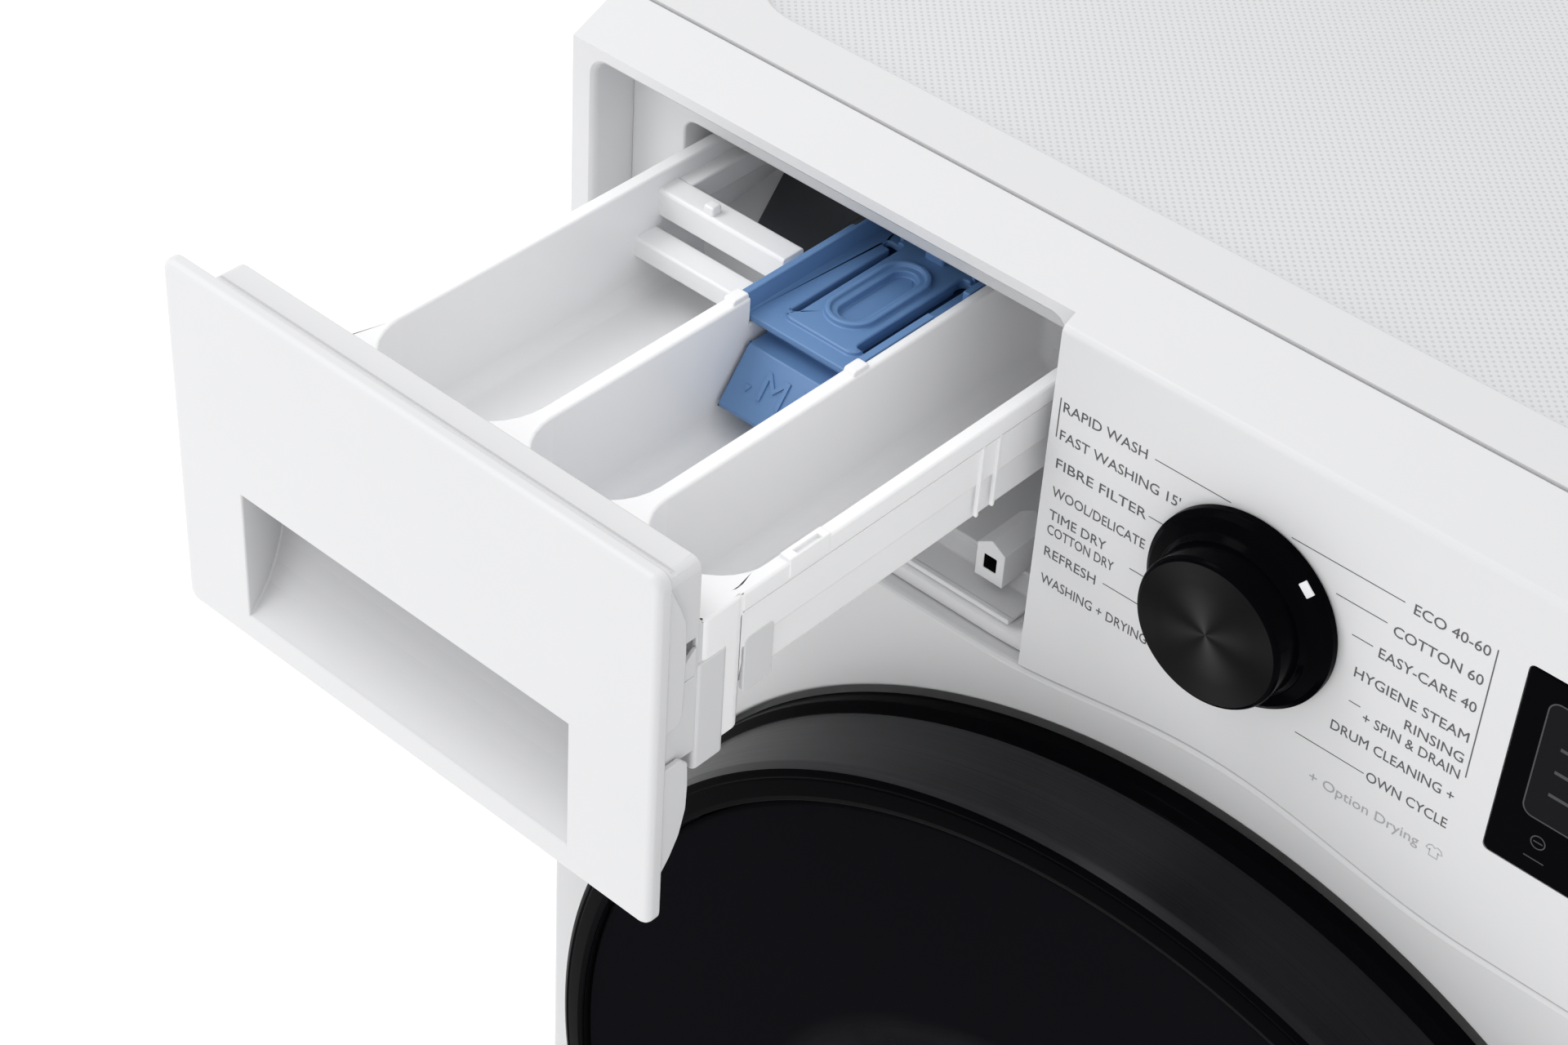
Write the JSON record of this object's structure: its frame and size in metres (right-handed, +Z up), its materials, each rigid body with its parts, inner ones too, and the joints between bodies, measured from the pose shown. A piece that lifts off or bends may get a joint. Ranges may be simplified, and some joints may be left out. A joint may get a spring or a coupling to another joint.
{
  "type": "front-loading washer-dryer",
  "caption": "Front-loading washer-dryer with a round glass door, a rotary programme knob, a display and a detergent drawer that slides out.",
  "frame": {"origin": "floor level, in the middle of the width, and midway between the face of the pulled-out drawer and the end of the water inlet", "axes": "+X to the right as one faces the machine, +Y towards its back, +Z up"},
  "size_m": [0.6, 0.775, 0.85],
  "materials": {
    "white_enamel": "smooth white enamel",
    "white_plastic": "satin white moulding",
    "tray_plastic": "satin white moulding",
    "blue_plastic": "satin blue moulding",
    "black_gloss": "polished black",
    "black_brushed": "near-black circular brushing",
    "tinted_glass": "dark tinted and flat",
    "clear_glass": "clear moulded bowl",
    "grey_rubber": "matt grey",
    "black_rubber": "matt black",
    "bright_steel": "bright",
    "cast_aluminium": "as cast",
    "cast_iron": "painted casting",
    "grey_plastic": "moulded grey",
    "circuit_board": "green lacquer"
  },
  "bodies": {
    "casing": {"cabinet_shell": "white_enamel", "rear_cover": "white_enamel", "front_panel": "white_enamel", "top_cover": "white_plastic", "control_panel": "white_plastic", "display_window": "black_gloss", "control_board": "circuit_board", "dispenser_housing": "white_plastic", "dispenser_lid": "grey_plastic", "inlet_valve": "white_plastic", "dispenser_hose": "black_rubber", "drain_pump": "grey_plastic", "sump_hose": "black_rubber", "drain_hose": "grey_plastic", "cord_gland": "grey_plastic", "tub_front": "grey_plastic", "tub_rear": "grey_plastic", "front_counterweight": "cast_iron", "top_counterweight": "cast_iron", "bearing_front": "bright_steel", "bearing_rear": "bright_steel", "motor": "cast_aluminium", "drive_belt": "black_rubber", "spring_left": "bright_steel", "spring_right": "bright_steel", "damper_left": "grey_plastic", "damper_right": "grey_plastic", "wash_heater": "bright_steel", "drying_duct": "grey_plastic", "door_gasket": "grey_rubber", "door_lock": "grey_plastic", "hinge_bracket": "bright_steel", "hinge_pin": "bright_steel"},
    "drum": {"drum_shell": "bright_steel", "lifter_top": "white_plastic", "lifter_left": "white_plastic", "lifter_right": "white_plastic", "drum_spider": "cast_aluminium", "drum_pulley": "cast_aluminium"},
    "rotor": {"motor_pulley": "bright_steel"},
    "fan": {"drying_fan": "cast_aluminium"},
    "knob": {"program_knob": "black_gloss"},
    "power": {"power_button": "white_plastic"},
    "start": {"start_button": "white_plastic"},
    "door": {"door_ring": "black_brushed", "door_glass": "tinted_glass", "door_inner_frame": "grey_plastic", "door_bowl": "clear_glass", "door_hook": "bright_steel", "door_hinge_arm": "cast_aluminium"},
    "drawer": {"drawer_front": "white_plastic", "drawer_inner_panel": "white_plastic", "drawer_tray": "tray_plastic", "siphon_insert": "blue_plastic"},
    "flap": {"filter_flap": "white_plastic"},
    "filter": {"pump_filter": "grey_plastic"},
    "foot_front_left_body": {"foot_front_left": "black_rubber"},
    "foot_front_right_body": {"foot_front_right": "black_rubber"},
    "foot_rear_left_body": {"foot_rear_left": "black_rubber"},
    "foot_rear_right_body": {"foot_rear_right": "black_rubber"}
  },
  "joints": [
    {"name": "drawer_slide", "type": "slide", "parent": "casing", "child": "drawer", "axis": [0, -1, 0], "range_m": [-0.175, 0.03]},
    {"name": "door_swing", "type": "hinge", "parent": "casing", "child": "door", "pos_m": [-0.232, -0.2345, 0.43], "axis": [0, 0, -1], "range_deg": [0, 160]},
    {"name": "drum_spin", "type": "hinge", "parent": "casing", "child": "drum", "pos_m": [0, 0.0375, 0.43], "axis": [0, 1, 0], "continuous": true},
    {"name": "motor_spin", "type": "hinge", "parent": "casing", "child": "rotor", "pos_m": [-0.06, 0.3075, 0.1], "axis": [0, 1, 0], "continuous": true},
    {"name": "fan_spin", "type": "hinge", "parent": "casing", "child": "fan", "pos_m": [0.15, 0.1975, 0.737], "axis": [0, 0, 1], "continuous": true},
    {"name": "knob_turn", "type": "hinge", "parent": "casing", "child": "knob", "pos_m": [0, -0.2125, 0.774], "axis": [0, -1, 0], "continuous": true},
    {"name": "power_press", "type": "slide", "parent": "casing", "child": "power", "axis": [0, 1, 0], "range_m": [0, 0.002], "stiffness_N_per_m": 500},
    {"name": "start_press", "type": "slide", "parent": "casing", "child": "start", "axis": [0, 1, 0], "range_m": [0, 0.002], "stiffness_N_per_m": 500},
    {"name": "flap_open", "type": "hinge", "parent": "casing", "child": "flap", "pos_m": [0.22, -0.2123, 0.0775], "axis": [1, 0, 0], "range_deg": [0, 90]},
    {"name": "filter_turn", "type": "hinge", "parent": "casing", "child": "filter", "pos_m": [0.22, -0.2005, 0.122], "axis": [0, -1, 0], "range_deg": [0, 90]},
    {"name": "foot_front_left_screw", "type": "slide", "parent": "casing", "child": "foot_front_left_body", "axis": [0, 0, -1], "range_m": [0, 0.015]},
    {"name": "foot_front_right_screw", "type": "slide", "parent": "casing", "child": "foot_front_right_body", "axis": [0, 0, -1], "range_m": [0, 0.015]},
    {"name": "foot_rear_left_screw", "type": "slide", "parent": "casing", "child": "foot_rear_left_body", "axis": [0, 0, -1], "range_m": [0, 0.015]},
    {"name": "foot_rear_right_screw", "type": "slide", "parent": "casing", "child": "foot_rear_right_body", "axis": [0, 0, -1], "range_m": [0, 0.015]}
  ],
  "couplings": [
    {"joint": "motor_spin", "follows": "drum_spin", "ratio": 12}
  ]
}
